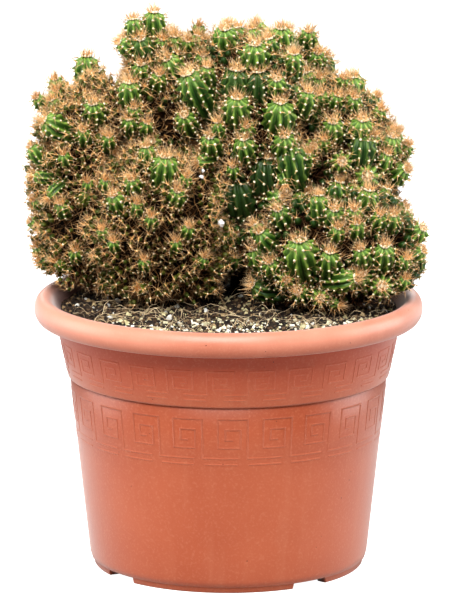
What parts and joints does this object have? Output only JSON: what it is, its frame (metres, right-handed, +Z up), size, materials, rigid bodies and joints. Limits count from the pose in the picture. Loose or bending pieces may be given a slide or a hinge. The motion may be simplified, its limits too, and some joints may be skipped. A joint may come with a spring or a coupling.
{
  "type": "potted cactus",
  "caption": "Potted monstrose apple cactus: dense lobes of short ribbed, spiny heads on stems in a soil-filled round pot with a rolled rim and a stepped wall.",
  "frame": {"origin": "on the pot's axis, on the surface that the pot stands on", "axes": "+Z up; the side shown in the picture faces -Y; +X is to the right as seen from there"},
  "size_m": [0.2803, 0.2708, 0.3855],
  "materials": {
    "pot_plastic": "terracotta-coloured moulded plastic with a satin surface",
    "soil_mix": null,
    "cactus_flesh": null
  },
  "bodies": {
    "root": {"pot": "pot_plastic", "soil": "soil_mix", "stem_left_back": "cactus_flesh", "stem_left_front": "cactus_flesh", "stem_back_left": "cactus_flesh", "stem_centre": "cactus_flesh", "stem_right": "cactus_flesh", "stem_lower_right": "cactus_flesh", "stem_back_right": "cactus_flesh"}
  },
  "joints": []
}
